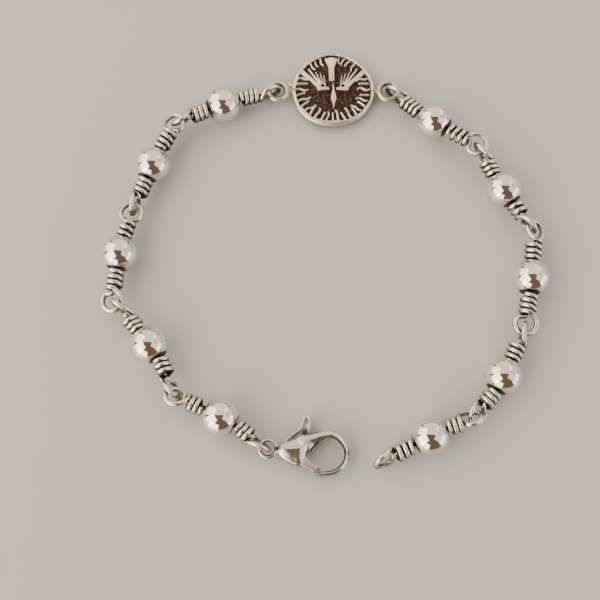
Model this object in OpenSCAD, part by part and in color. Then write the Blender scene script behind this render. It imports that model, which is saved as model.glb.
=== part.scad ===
// Rosary bracelet of wire-wrapped silver beads, lying open: a cast medal in the middle, five bead links
// on each side of it, a claw clasp on the left end and a free loop on the right end.
// The origin is on the medal's back, midway between its rings, on the surface that the bracelet lies on. The
// chain hangs off towards -Y, and +X is to the right.

/* [Beads] */
// Diameter of a bead
bead_d = 6.3; // [5:0.1:7.5]
// Length of a bead between its flattened ends, as a share of its diameter
bead_flat = 0.86; // [0.84:0.01:0.92]
// Wall of the hollow bead
bead_wall = 0.55; // [0.5:0.05:0.9]
// Gap between the wire and the bead's hole
bore_gap = 0.13; // [0.1:0.01:0.3]

/* [Wire links] */
// Thickness of the link wire
wire_d = 0.85; // [0.7:0.05:1]
// Radius of a loop, to the middle of its wire
loop_r = 1.75; // [1.6:0.05:2.2]
// Gap between a link's stem and the wraps around it
stem_gap = 0.25; // [0.2:0.01:0.35]
// Gap between one wrap and the next where they are wound tightly
turn_gap = 0.1; // [0.08:0.01:0.12]

/* [Medal] */
// Diameter of the medal
medal_d = 14.9; // [12:0.1:18]
// Thickness of the medal at its rim
medal_t = 2.2; // [1.8:0.1:3]
// Width of the raised rim
rim_w = 0.6; // [0.4:0.05:1]
// Height of the step around the medal's back, which lets its edge look thin
back_step = 0.7; // [0.4:0.1:0.9]
// Width of that step
back_inset = 0.6; // [0.3:0.1:1]
// Depth of the field below the rim
field_depth = 0.65; // [0.4:0.05:0.9]
// Height of the relief above the field
relief_h = 0.5; // [0.3:0.05:0.6]
// Radius of a cast ring, to the middle of its wire
ring_r = 1.67; // [1.5:0.01:2]
// Thickness of a cast ring
ring_wire = 1; // [0.8:0.05:1.2]
// Length of the neck between the medal's edge and a ring
neck_l = 0.45; // [0.4:0.05:1]
// Thickness of that neck
neck_d = 1.1; // [0.8:0.05:1.2]
// How far the disc stands above the line through its rings, as seen in the photo
disc_shift = 0.3; // [0:0.05:0.4]

/* [Clasp] */
// Length of the clasp, from the middle of its ring to the far side of its hook
clasp_l = 13.5; // [11:0.25:16]
// Width of the clasp across its hook
clasp_w = 7.7; // [6.5:0.1:9]
// Thickness of the clasp
clasp_t = 3.3; // [2.9:0.1:4]
// Radius of the clasp's ring, to the middle of its wire
clasp_ring_r = 1.37; // [1.3:0.01:1.8]
// Thickness of the clasp's ring
clasp_ring_wire = 0.65; // [0.5:0.05:0.8]
// Thickness of the lever
lever_t = 1.4; // [1:0.1:1.6]
// Gap on each face of the lever
lever_gap = 0.15; // [0.1:0.05:0.2]
// Diameter of the lever's pin
pin_d = 0.8; // [0.6:0.05:1]
// Gap around the pin
pin_gap = 0.05; // [0.03:0.01:0.1]

/* [Hidden] */

silver = [0.80, 0.78, 0.74];
polished = [0.88, 0.86, 0.82];
antique = [0.62, 0.58, 0.52];

bead_r = bead_d / 2;
bead_half = bead_flat * bead_r;
bead_bore = wire_d + 2 * bore_gap;
wrap_r = wire_d + stem_gap;
field_z = medal_t - field_depth;
medal_ring_x = medal_d / 2 + neck_l + ring_r + ring_wire / 2;
medal_ring_z = medal_t - 0.55 * ring_wire;
clasp_z = clasp_t / 2;
bead_facets = 64;

// The wire is six-sided, and its corners stand this much outside the round wire, so that it keeps its bulk
wire_sides = 6;
wire_corner_r = 1.05 * wire_d / 2;
// Steps along the wire, in degrees, round the wraps and round a loop
wrap_step = 36;
loop_step = 27;
// Where a loop's round part starts and ends, in degrees from its far point
loop_start = -115;
loop_end = 145;
// Where the wire begins to leave the loop's plane on its way over the stem
rise_start = 45;
// Pull of the stem's bend at its two ends, and of the crossing at both of its ends, in loop radii
bend_pull = 1.92;
bend_end_pull = 1.41;
cross_pull = 0.75;

// The chain, one row for each link, counted outwards from the medal. The columns:
// heading: bearing of the bead's hole, degrees anticlockwise from +X, pointing away from the medal
// tilt: degrees by which that direction climbs
// stands: true where the outer loop stands and what it holds lies, false the other way round
// inner, outer: the two ends of the link, each one a row of
//   lean: degrees by which the wrapped end turns to the left of its way out of the bead
//   roll: degrees by which the loop is turned up from lying flat
//   turns: wraps around the stem. The last one ends just past the side that is seen from above
//   loose: gap between these wraps, in gaps of tightly wound ones
//   bare, neck: bare stem before the wraps and after them, in wire thicknesses
LEFT = [[203, 5.3, true, [-5, 90, 3.9, 0.89, 0.22, 0.1], [5, 68, 2.96, 1.1, 0.22, 0.1]],
        [248, 0, true, [-3, -12, 3.18, 2.66, 0.15, 0.1], [3, 90, 2.9, 1.63, 0.15, 0.1]],
        [261, 0, false, [-6, 0, 2.25, 2.71, 0.15, 0.1], [6, 10, 3.12, 1.47, 0.15, 0.4]],
        [306, 0, true, [7, 90, 2.9, 0.98, 0.15, 0.65], [-9, 108, 2.85, 1.06, 0.15, 1.2]],
        [332, -5.4, true, [8, 35, 2.9, 0.78, 0.23, 0.2], [-8, 104, 2.81, 0.76, 0.23, 0.1]]];
RIGHT = [[323, 5.3, false, [-5, 90, 3.9, 0.96, 0.24, 0.1], [5, 16, 3.16, 2.91, 0.24, 0.1]],
         [299.5, 0, true, [-3, 78, 2.93, 1.25, 0.15, 0.1], [3, 90, 2.1, 2.53, 0.15, 0.1]],
         [261, 0, false, [2, 28, 3.07, 2.32, 0.15, 0.1], [-2, 0, 3.15, 1.66, 0.15, 0.15]],
         [238.5, 0, true, [8, 80, 2.93, 1.96, 0.15, 0.1], [-6, 130, 2.79, 0.92, 0.15, 0.1]],
         [205, -5, true, [-3.5, -55, 2.25, 0.9, 0.2, 0.1], [3.5, 106, 2.86, 2.23, 0.2, 0.15]]];

// Bearing of the clasp, from its ring to its hook
clasp_heading = -4;

// The clasp's own outlines lie in its own frame: the ring's middle is the origin and the hook is towards +X.
// Hook, from inside the shell round to the tip. Columns: x as a share of clasp_l, y and half width as shares
// of clasp_w, thickness as a share of clasp_t
HOOK = [[0.326, 0.039, 0.195, 0.80], [0.437, 0.140, 0.231, 0.93], [0.526, 0.232, 0.161, 0.88],
        [0.619, 0.325, 0.121, 0.78], [0.733, 0.394, 0.083, 0.70], [0.822, 0.368, 0.075, 0.66],
        [0.893, 0.273, 0.073, 0.65], [0.944, 0.143, 0.069, 0.64], [0.963, -0.006, 0.065, 0.64],
        [0.948, -0.162, 0.064, 0.64], [0.904, -0.292, 0.062, 0.64], [0.837, -0.390, 0.064, 0.64],
        [0.756, -0.442, 0.065, 0.64], [0.681, -0.455, 0.066, 0.62], [0.630, -0.472, 0.048, 0.58],
        [0.575, -0.502, 0.018, 0.48]];
// Shell, from the ring to the root of the hook. Columns: x as a share of clasp_l, middle and half width as
// shares of clasp_w, thickness as a share of clasp_t
SHELL = [[0.090, 0.000, 0.045, 0.26], [0.125, 0.002, 0.105, 0.75], [0.175, -0.020, 0.173, 0.92],
         [0.245, -0.034, 0.232, 0.98], [0.320, -0.025, 0.292, 0.99], [0.385, -0.008, 0.338, 0.99],
         [0.437, 0.003, 0.351, 0.98], [0.462, 0.093, 0.276, 0.94], [0.490, 0.173, 0.178, 0.88]];
// Lever, trigger tip first and then clockwise: its front edge, the hub, the gate and the back edge.
// Columns: x as a share of clasp_l, y as a share of clasp_w
LEVER = [[0.442, 0.752], [0.456, 0.745], [0.471, 0.728], [0.485, 0.698], [0.494, 0.655], [0.496, 0.590],
         [0.493, 0.500], [0.483, 0.400], [0.456, 0.260], [0.425, 0.120], [0.408, 0.000], [0.430, -0.080],
         [0.466, -0.134], [0.517, -0.230], [0.593, -0.304], [0.649, -0.357], [0.620, -0.405],
         [0.577, -0.446], [0.524, -0.395], [0.437, -0.325], [0.370, -0.258], [0.311, -0.215],
         [0.252, -0.150], [0.226, -0.052], [0.208, 0.070], [0.204, 0.190], [0.212, 0.222], [0.262, 0.292],
         [0.311, 0.364], [0.345, 0.420], [0.368, 0.482], [0.381, 0.550], [0.393, 0.628], [0.406, 0.705],
         [0.420, 0.744]];
// Slot for the lever through the middle of the shell, wide enough for its whole swing.
// Columns: x as a share of clasp_l, y as a share of clasp_w
SLOT = [[0.134, 0.150], [0.120, 0.420], [0.500, 0.900], [0.600, 0.700], [0.506, 0.430], [0.476, 0.255],
        [0.448, 0.130], [0.440, 0.060], [0.505, 0.020], [0.600, -0.060], [0.600, -0.500], [0.430, -0.450],
        [0.395, -0.335], [0.310, -0.265], [0.225, -0.195], [0.195, -0.105], [0.165, 0.000]];
// Pivot of the lever, x as a share of clasp_l and y as a share of clasp_w
PIVOT = [0.311, -0.065];
pin_l = 0.78 * clasp_t;
hook_sides = 14;
// Roundness of the clasp's sections: 2 is an ellipse, more is squarer
section_power = 2.5;

// Unit vector along v
function unit(v) = v / norm(v);

// Smooth rise from 0 to 1
function ease(s) = s * s * (3 - 2 * s);

// Point at share s of a smooth curve from a to b that starts along u and ends along v
function bend(a, u, b, v, s) =
    a * (1 + s * s * (2 * s - 3)) + b * ease(s) + u * s * (1 - s) * (1 - s) - v * s * s * (1 - s);

// Columns of an end's row
function lean_of(e) = e[0];
function roll_of(e) = e[1];
function turns_of(e) = e[2];
function pitch_of(e) = wire_d + e[3] * turn_gap;
function bare_of(e) = e[4] * wire_d;
function neck_of(e) = e[5] * wire_d;

// Distances along an end from the middle of the bead: its crossing over the stem, and its loop's middle
function cross_x(e) = bead_half + wire_d / 2 + bare_of(e) + turns_of(e) * pitch_of(e);
function reach(e) = cross_x(e) + neck_of(e) + loop_r;

// Half of a link's wire in its own frame, from the bead's hole outwards. The first coordinate runs out of
// the bead, the second across the loop and the third off the loop's plane
function half_wire(e) =
    let (xc = reach(e),
         xn = xc - loop_r - 0.2 * wire_d,
         start = [xc + loop_r * cos(loop_start), loop_r * sin(loop_start), 0],
         start_way = [-sin(loop_start), cos(loop_start), 0],
         over = wrap_r * ease(0.65),
         end = [xc + loop_r * cos(loop_end), loop_r * sin(loop_end), over],
         end_way = [-sin(loop_end), cos(loop_end), 0.35],
         last = [cross_x(e), 0, wrap_r])
    concat(
        [[bead_r - wire_d, 0, 0], [bead_r, 0, 0]],
        [for (s = [0:0.2:0.9]) bend([xn, 0, 0], [bend_pull * loop_r, 0, 0], start,
                                    start_way * bend_end_pull * loop_r, s)],
        [for (a = [loop_start:loop_step:loop_end - 1])
            [xc + loop_r * cos(a), loop_r * sin(a),
             a < rise_start ? 0 : wrap_r * ease(0.65 * (a - rise_start) / (loop_end - rise_start))]],
        [for (s = [0:0.34:0.7]) bend(end, end_way * cross_pull * loop_r, last, [0, -cross_pull * loop_r, 0], s)],
        [for (a = [0:wrap_step:360 * turns_of(e)])
            [cross_x(e) - pitch_of(e) * a / 360, -wrap_r * sin(a), wrap_r * cos(a)]]);

// Directions of a link: out of the bead at one end, along the leaning end, across its loop, off its plane
function axes(row, outer) =
    let (e = outer ? row[4] : row[3],
         sign = outer ? 1 : -1,
         along = sign * [cos(row[1]) * cos(row[0]), cos(row[1]) * sin(row[0]), sin(row[1])],
         left = sign * [-sin(row[0]), cos(row[0]), 0],
         up = cross(along, left),
         out = cos(lean_of(e)) * along + sin(lean_of(e)) * left,
         side = cos(lean_of(e)) * left - sin(lean_of(e)) * along,
         across = cos(roll_of(e)) * side + sin(roll_of(e)) * up)
    [along, out, across, cross(out, across)];

// From the middle of the bead to the middle of one of its link's loops
function to_loop(row, outer) =
    let (a = axes(row, outer)) a[0] * bead_r + a[1] * (reach(outer ? row[4] : row[3]) - bead_r);

// From the middle of a standing loop to the point of it, near its far end, that lies dz higher. The loop
// that it holds has its middle there, so each of the two passes through the middle of the other
function held(row, outer, dz) =
    let (a = axes(row, outer),
         out = a[1],
         across = a[2],
         turn = atan2(across[2], out[2]) - acos(dz / (loop_r * norm([out[2], across[2]]))))
    loop_r * (cos(turn) * out + sin(turn) * across);

// Middle of what link i of a side holds with its outer loop, at height z. Before the first link it is the
// medal's ring
function next_hold(rows, ring, i, z) =
    i < 0 ? ring :
    let (b = bead_at(rows, ring, i) + to_loop(rows[i], true))
    rows[i][2] ? b + held(rows[i], true, z - b[2]) : b;

// Middle of bead i of a side
function bead_at(rows, ring, i) =
    let (inner = to_loop(rows[i], false),
         z = bead_r + inner[2],
         hold = next_hold(rows, ring, i - 1, z),
         stands = i == 0 || !rows[i - 1][2],
         loop = stands ? hold - held(rows[i], false, hold[2] - z) : hold)
    loop - inner;

ring_left = [-medal_ring_x, 0, medal_ring_z];
ring_right = [medal_ring_x, 0, medal_ring_z];
beads_left = [for (i = [0:len(LEFT) - 1]) bead_at(LEFT, ring_left, i)];
beads_right = [for (i = [0:len(RIGHT) - 1]) bead_at(RIGHT, ring_right, i)];
clasp_at = next_hold(LEFT, ring_left, len(LEFT) - 1, clasp_z);

// A point of a half wire, put in its place. Up to the edge of the bead it stays on the hole's axis
function place(p, bead, a) =
    bead + a[0] * min(p[0], bead_r) + a[1] * max(p[0] - bead_r, 0) + a[2] * p[1] + a[3] * p[2];

function link_path(row, bead) =
    let (inner = axes(row, false),
         outer = axes(row, true),
         first = [for (p = half_wire(row[3])) place(p, bead, inner)],
         second = [for (p = half_wire(row[4])) place(p, bead, outer)])
    concat([for (i = [len(first) - 1:-1:0]) first[i]], second);

// Directions along a path, one for each point
function ways(path) =
    [for (i = [0:len(path) - 1]) unit(path[min(i + 1, len(path) - 1)] - path[max(i - 1, 0)])];

// One side direction for each point, carried along the path without twisting
function carried(way) =
    [for (i = 0, n = unit(cross(way[0], [0.3, 0.5, 0.8])); i < len(way);
          i = i + 1, n = i < len(way) ? unit(n - (n * way[i]) * way[i]) : n) n];

// Faces of a tube of rings, each with the given number of corners, closed with a fan at each end
function tube_faces(rings, sides) =
    concat(
        [for (i = [0:rings - 2], j = [0:sides - 1])
            [i * sides + j, (i + 1) * sides + j, (i + 1) * sides + (j + 1) % sides]],
        [for (i = [0:rings - 2], j = [0:sides - 1])
            [i * sides + j, (i + 1) * sides + (j + 1) % sides, i * sides + (j + 1) % sides]],
        [for (j = [1:sides - 2]) [0, j, j + 1]],
        [for (j = [1:sides - 2]) [(rings - 1) * sides, (rings - 1) * sides + j + 1, (rings - 1) * sides + j]]);

// A wire of one thickness along a path
module wire(path, r, sides) {
    way = ways(path);
    side = carried(way);
    points = [for (i = [0:len(path) - 1], j = [0:sides - 1])
        let (a = 360 * j / sides) path[i] + r * (cos(a) * side[i] + sin(a) * cross(way[i], side[i]))];
    polyhedron(points, tube_faces(len(path), sides));
}

module link(rows, beads, i) {
    color(silver) wire(link_path(rows[i], beads[i]), wire_corner_r, wire_sides);
}

module bead(rows, beads, i) {
    color(polished)
        translate(beads[i])
            rotate([0, 90 - rows[i][1], rows[i][0]])
                rotate_extrude($fn = bead_facets)
                    difference() {
                        circle(r = bead_r, $fn = bead_facets);
                        circle(r = bead_r - bead_wall, $fn = bead_facets);
                        for (end = [-1, 1])
                            translate([0, end * (bead_half + bead_d / 2)]) square(bead_d, center = true);
                        translate([-2 * bead_d, -bead_d]) square([2 * bead_d + bead_bore / 2, 2 * bead_d]);
                    }
}

// The medal's outline is round with a slight hand-made waver
outline_points = 60;
function waver(a) = 1 + 0.014 * cos(2 * a) + 0.016 * cos(3 * a + 47) + 0.004 * cos(5 * a - 98);
function outline(inset) =
    [for (i = [0:outline_points - 1]) let (a = 360 * i / outline_points)
        (medal_d / 2 * waver(a) - inset) * [cos(a), sin(a)]];

// The relief's shapes are shares of the field's radius
field_r = medal_d / 2 - rim_w;
relief_foot = field_z - relief_h / 2;
relief_top = field_z + relief_h;
// One wing: its arm, then its feathers with the leading one first. Columns: root x and y, tip x and y, width
WING = [[0.13, 0.045, 0.40, 0.055, 0.10], [0.38, 0.055, 0.84, 0.54, 0.115], [0.35, 0.09, 0.70, 0.60, 0.08],
        [0.31, 0.10, 0.52, 0.53, 0.07], [0.27, 0.11, 0.385, 0.505, 0.065], [0.21, 0.10, 0.25, 0.47, 0.065]];
// Tail feathers, with the same columns. They lie together and spread at their ends
TAIL = [[-0.031, 0.24, -0.035, 0.92, 0.174], [-0.06, 0.58, -0.165, 0.93, 0.12], [-0.03, 0.62, -0.09, 0.95, 0.12],
        [-0.02, 0.62, 0.01, 0.95, 0.12], [-0.005, 0.58, 0.075, 0.93, 0.12]];
// Head, neck and body, from the tail down to the beak
BODY = [[-0.05, 0.26], [-0.025, 0.15], [-0.02, 0.08], [-0.04, 0.0], [-0.078, -0.20], [-0.07, -0.30],
        [-0.025, -0.43], [0.014, -0.60], [0.05, -0.43], [0.095, -0.30], [0.105, -0.20], [0.075, 0.0],
        [0.055, 0.08], [0.03, 0.15], [0.0, 0.26]];
ray_w = 0.065;
ray_end = 0.96;
ray_step = 10;
long_rays = 25;
// Where the longer rays, the shorter ones by turns and those beside the tail start, and their bearings there
ray_starts = [0.73, 0.68];
short_start = 0.78;
short_rays = [53, 62, 71, 80, 111, 120, 129];

// A bar along +X, with a blunt point at its outer end
module bar(length, w) {
    polygon([[0, -w / 2], [length - w / 3, -w / 2], [length, -w / 6], [length, w / 6], [length - w / 3, w / 2],
             [0, w / 2]]);
}

// A feather for each row
module feathers(rows) {
    for (r = rows)
        translate([r[0], r[1]])
            rotate(atan2(r[3] - r[1], r[2] - r[0]))
                bar(norm([r[2] - r[0], r[3] - r[1]]), r[4]);
}

// A descending dove: tail up, wings raised, head down
module dove() {
    feathers(TAIL);
    feathers(WING);
    mirror([1, 0, 0]) feathers(WING);
    polygon(BODY);
}

// Short rays around the field, below the wings and beside the tail
module rays() {
    for (k = [0:long_rays - 1])
        rotate(150 + ray_step * k)
            translate([ray_starts[k % 2], 0]) bar(ray_end - ray_starts[k % 2], ray_w);
    for (a = short_rays)
        rotate(a) translate([short_start, 0]) bar(ray_end - short_start, ray_w);
}

module relief() {
    translate([0, 0, relief_foot])
        linear_extrude(relief_top - relief_foot)
            scale(field_r) {
                dove();
                rays();
            }
}

module medal_ring() {
    translate([medal_ring_x, 0, medal_ring_z]) {
        rotate_extrude($fn = 48) translate([ring_r, 0]) circle(d = ring_wire, $fn = 24);
        rotate([0, -90, 0])
            translate([0, 0, ring_r])
                cylinder(h = ring_wire / 2 + neck_l + rim_w, d = neck_d, $fn = 24);
    }
}

module medal() {
    color(antique) {
        translate([0, disc_shift, 0]) {
            difference() {
                union() {
                    linear_extrude(field_z) polygon(outline(back_inset));
                    translate([0, 0, back_step]) linear_extrude(medal_t - back_step) polygon(outline(0));
                }
                translate([0, 0, field_z]) linear_extrude(medal_t) polygon(outline(rim_w));
            }
            relief();
        }
        medal_ring();
        mirror([1, 0, 0]) medal_ring();
    }
}

// Rows of the clasp's tables in millimetres
function clasp_rows(rows) =
    [for (r = rows) [r[0] * clasp_l, r[1] * clasp_w, r[2] * clasp_w, r[3] * clasp_t / 2]];
function clasp_outline(rows) = [for (r = rows) [r[0] * clasp_l, r[1] * clasp_w]];

// The rows of a table with one more between each two, on a smooth curve through them
function smooth_rows(rows) =
    let (n = len(rows))
    concat(
        [for (i = [0:n - 2], s = [0, 0.5])
            let (a = rows[max(i - 1, 0)], b = rows[i], c = rows[i + 1], d = rows[min(i + 2, n - 1)])
            bend(b, (c - a) / 2, c, (d - b) / 2, s)],
        [rows[n - 1]]);

// A corner of the rounded section, from -1 to 1 each way
function section(a) =
    [sign(cos(a)) * pow(abs(cos(a)), 2 / section_power), sign(sin(a)) * pow(abs(sin(a)), 2 / section_power)];

// A solid through sections that stand across a way in the plane
module loft(rows, way) {
    points = [for (i = [0:len(rows) - 1], j = [0:hook_sides - 1])
        let (c = section(360 * (j + 0.5) / hook_sides), w = way[i])
        [rows[i][0] - w[1] * c[0] * rows[i][2], rows[i][1] + w[0] * c[0] * rows[i][2], c[1] * rows[i][3]]];
    polyhedron(points, tube_faces(len(rows), hook_sides));
}

module hook() {
    rows = smooth_rows(clasp_rows(HOOK));
    loft(rows, ways([for (r = rows) [r[0], r[1]]]));
}

module shell() {
    rows = smooth_rows(clasp_rows(SHELL));
    loft(rows, [for (r = rows) [1, 0]]);
}

pivot = [PIVOT[0] * clasp_l, PIVOT[1] * clasp_w, 0];
slot_t = lever_t + 2 * lever_gap;

module in_clasp_place() {
    translate(clasp_at) rotate(clasp_heading) children();
}

module clasp_body() {
    color(silver)
        in_clasp_place()
            difference() {
                union() {
                    shell();
                    hook();
                    rotate_extrude($fn = 48)
                        translate([clasp_ring_r, 0]) circle(d = clasp_ring_wire, $fn = 24);
                }
                translate([0, 0, -slot_t / 2]) linear_extrude(slot_t) polygon(clasp_outline(SLOT));
                translate(pivot)
                    cylinder(h = pin_l + 2 * pin_gap, d = pin_d + 2 * pin_gap, center = true, $fn = 48);
            }
}

module clasp_lever() {
    color(silver)
        in_clasp_place()
            difference() {
                translate([0, 0, -lever_t / 2]) linear_extrude(lever_t) polygon(clasp_outline(LEVER));
                translate(pivot) cylinder(h = clasp_t, d = pin_d + 2 * pin_gap, center = true, $fn = 48);
            }
}

module clasp_pin() {
    color(antique)
        in_clasp_place()
            translate(pivot) cylinder(h = pin_l, d = pin_d, center = true, $fn = 48);
}

medal();
clasp_body();
clasp_lever();
clasp_pin();
bead(LEFT, beads_left, 0);  // bead_left_1
bead(LEFT, beads_left, 1);  // bead_left_2
bead(LEFT, beads_left, 2);  // bead_left_3
bead(LEFT, beads_left, 3);  // bead_left_4
bead(LEFT, beads_left, 4);  // bead_left_5
bead(RIGHT, beads_right, 0);  // bead_right_1
bead(RIGHT, beads_right, 1);  // bead_right_2
bead(RIGHT, beads_right, 2);  // bead_right_3
bead(RIGHT, beads_right, 3);  // bead_right_4
bead(RIGHT, beads_right, 4);  // bead_right_5
link(LEFT, beads_left, 0);  // link_left_1
link(LEFT, beads_left, 1);  // link_left_2
link(LEFT, beads_left, 2);  // link_left_3
link(LEFT, beads_left, 3);  // link_left_4
link(LEFT, beads_left, 4);  // link_left_5
link(RIGHT, beads_right, 0);  // link_right_1
link(RIGHT, beads_right, 1);  // link_right_2
link(RIGHT, beads_right, 2);  // link_right_3
link(RIGHT, beads_right, 3);  // link_right_4
link(RIGHT, beads_right, 4);  // link_right_5
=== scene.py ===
# The bracelet's looks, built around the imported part.
# Lengths are in millimetres until a mesh is stored.
import math

import bpy
import numpy as np
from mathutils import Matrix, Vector


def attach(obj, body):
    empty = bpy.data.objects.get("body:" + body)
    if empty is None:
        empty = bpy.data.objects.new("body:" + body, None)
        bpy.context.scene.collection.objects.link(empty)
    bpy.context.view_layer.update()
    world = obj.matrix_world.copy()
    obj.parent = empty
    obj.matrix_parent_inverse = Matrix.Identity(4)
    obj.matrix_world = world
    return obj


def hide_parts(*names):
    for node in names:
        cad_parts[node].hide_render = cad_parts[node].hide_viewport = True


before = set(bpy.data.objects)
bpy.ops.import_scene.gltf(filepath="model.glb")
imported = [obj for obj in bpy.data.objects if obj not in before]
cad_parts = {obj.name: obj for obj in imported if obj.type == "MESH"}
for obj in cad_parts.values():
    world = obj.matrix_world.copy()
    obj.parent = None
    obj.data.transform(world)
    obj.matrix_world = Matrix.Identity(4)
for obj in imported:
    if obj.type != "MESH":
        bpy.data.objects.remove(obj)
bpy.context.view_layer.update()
MM = 0.001

# Sizes of the beads and links, the same as the part's own
bead_d = 6.3
bead_flat = 0.86
bead_wall = 0.55
bead_bore = 1.11
wire_d = 0.85
loop_r = 1.75
wrap_r = 1.1
turn_gap = 0.1
bead_r = bead_d / 2
bead_half = bead_flat * bead_r

# Sizes of the medal, the same as the part's own
medal_r = 7.45
medal_t = 2.2
disc_y = 0.3
field_z = 1.55
ring_r = 1.67
ring_wire = 1.0
ring_x = 10.07
ring_z = 1.65

# Sizes of the clasp, the same as the part's own
clasp_l = 13.5
clasp_w = 7.7
clasp_t = 3.3
clasp_z = clasp_t / 2
clasp_ring_r = 1.37
clasp_ring_wire = 0.65
clasp_heading = -4
lever_t = 1.4
slot_t = 1.7

# One row for each link from the medal outwards: its heading, its tilt, whether its outer loop
# stands, and its two ends. Each end has its lean, its roll, its turns, the gap between them as a
# share of turn_gap, and the lengths of its bare stem and its neck in wire thicknesses
HEADING, TILT, STANDS, INNER, OUTER = range(5)
LEAN, ROLL, TURNS, LOOSE, BARE, NECK = range(6)
LEFT = [
    [203, 5.3, True, [-5, 90, 3.9, 0.89, 0.22, 0.1], [5, 68, 2.96, 1.1, 0.22, 0.1]],
    [248, 0, True, [-3, -12, 3.18, 2.66, 0.15, 0.1], [3, 90, 2.9, 1.63, 0.15, 0.1]],
    [261, 0, False, [-6, 0, 2.25, 2.71, 0.15, 0.1], [6, 10, 3.12, 1.47, 0.15, 0.4]],
    [306, 0, True, [7, 90, 2.9, 0.98, 0.15, 0.65], [-9, 108, 2.85, 1.06, 0.15, 1.2]],
    [332, -5.4, True, [8, 35, 2.9, 0.78, 0.23, 0.2], [-8, 104, 2.81, 0.76, 0.23, 0.1]],
]
RIGHT = [
    [323, 5.3, False, [-5, 90, 3.9, 0.96, 0.24, 0.1], [5, 16, 3.16, 2.91, 0.24, 0.1]],
    [299.5, 0, True, [-3, 78, 2.93, 1.25, 0.15, 0.1], [3, 90, 2.1, 2.53, 0.15, 0.1]],
    [261, 0, False, [2, 28, 3.07, 2.32, 0.15, 0.1], [-2, 0, 3.15, 1.66, 0.15, 0.15]],
    [238.5, 0, True, [8, 80, 2.93, 1.96, 0.15, 0.1], [-6, 130, 2.79, 0.92, 0.15, 0.1]],
    [205, -5, True, [-3.5, -55, 2.25, 0.9, 0.2, 0.1], [3.5, 106, 2.86, 2.23, 0.2, 0.15]],
]


# Curves and ways

def cosd(a):
    return np.cos(np.radians(a))


def sind(a):
    return np.sin(np.radians(a))


def ease(s):
    s = np.clip(s, 0, 1)
    return s * s * (3 - 2 * s)


def rise(x, low, high):
    """Goes smoothly from 0 at low to 1 at high."""
    return ease((np.asarray(x) - low) / (high - low))


def unit(v):
    return v / np.maximum(np.linalg.norm(v, axis=-1, keepdims=True), 1e-12)


def direction(heading, lift):
    return np.array([cosd(lift) * cosd(heading), cosd(lift) * sind(heading), sind(lift)])


def around(n):
    """Bearings of n points round a circle, in radians."""
    return np.arange(n) / n * 2 * math.pi


def circle(radius):
    a = np.arange(0, 360, 5)
    return np.stack([radius * cosd(a), radius * sind(a), 0 * a], -1)


def bend(a, u, b, v, s):
    """Points at the shares s of a curve that leaves a with velocity u and reaches b with velocity v."""
    s = np.asarray(s)[:, None]
    return (a * (1 + s * s * (2 * s - 3)) + b * s * s * (3 - 2 * s)
            + u * s * (1 - s) ** 2 - v * s * s * (1 - s))


def wobble(p, seed, scale):
    """Smooth noise from about -1 to 1 at points p, with bumps about the given size."""
    rng = np.random.default_rng(seed)
    waves = 9
    total = np.zeros(len(p))
    for _ in range(waves):
        way = unit(rng.normal(size=3)) * rng.uniform(0.6, 1.6) * 2 * math.pi / scale
        total += np.sin(p @ way + rng.uniform(0, 2 * math.pi))
    return total / (waves / 2)


# Where the links and beads lie

def pitch(end):
    return wire_d + end[LOOSE] * turn_gap


def cross_x(end):
    """How far from the bead's middle the wire crosses its stem to start the wraps."""
    return bead_half + wire_d / 2 + end[BARE] * wire_d + end[TURNS] * pitch(end)


def reach(end):
    """How far from the bead's middle the loop's middle is, along the wire."""
    return cross_x(end) + end[NECK] * wire_d + loop_r


def end_of(row, outer):
    return row[OUTER if outer else INNER]


def axes(row, outer):
    """Ways of one end of a link: along its bead, out to its loop, across the loop and square to it."""
    end = end_of(row, outer)
    sign = 1 if outer else -1
    heading = row[HEADING]
    along = sign * direction(heading, row[TILT])
    left = sign * np.array([-sind(heading), cosd(heading), 0])
    up = np.cross(along, left)
    out = cosd(end[LEAN]) * along + sind(end[LEAN]) * left
    side = cosd(end[LEAN]) * left - sind(end[LEAN]) * along
    across = cosd(end[ROLL]) * side + sind(end[ROLL]) * up
    return along, out, across, np.cross(out, across)


def to_loop(row, outer):
    """From a bead's middle to the middle of one of its loops."""
    along, out, _, _ = axes(row, outer)
    return along * bead_r + out * (reach(end_of(row, outer)) - bead_r)


def held(row, outer, dz):
    """From a loop's middle to the place on the loop that lies dz above it."""
    _, out, across, _ = axes(row, outer)
    lift = loop_r * math.hypot(out[2], across[2])
    turn = np.degrees(math.atan2(across[2], out[2]) - math.acos(dz / lift))
    return loop_r * (cosd(turn) * out + sind(turn) * across)


def place_chain(rows, ring):
    """Bead middles, and the middle of what the last loop holds if that lies at the clasp's height."""
    beads = []
    hold = np.array(ring, float)
    stands = True
    last = None
    for row in rows:
        inner = to_loop(row, False)
        z = bead_r + inner[2]
        if last is not None:
            loop, before = last
            hold = loop + held(before, True, z - loop[2]) if before[STANDS] else loop
            stands = not before[STANDS]
        at = hold - held(row, False, hold[2] - z) if stands else hold
        bead = at - inner
        beads.append(bead)
        last = (bead + to_loop(row, True), row)
    loop, row = last
    return beads, loop + held(row, True, clasp_z - loop[2])


beads_left, clasp_at = place_chain(LEFT, (-ring_x, 0, ring_z))
beads_right, _ = place_chain(RIGHT, (ring_x, 0, ring_z))


# Materials

def add_node(tree, kind, values, **settings):
    """A new node. Each value is a number, a colour or the output that feeds the input."""
    node = tree.nodes.new(kind)
    for name, setting in settings.items():
        setattr(node, name, setting)
    for name, value in values.items():
        if isinstance(value, bpy.types.NodeSocket):
            tree.links.new(value, node.inputs[name])
        else:
            node.inputs[name].default_value = value
    return node


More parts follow.
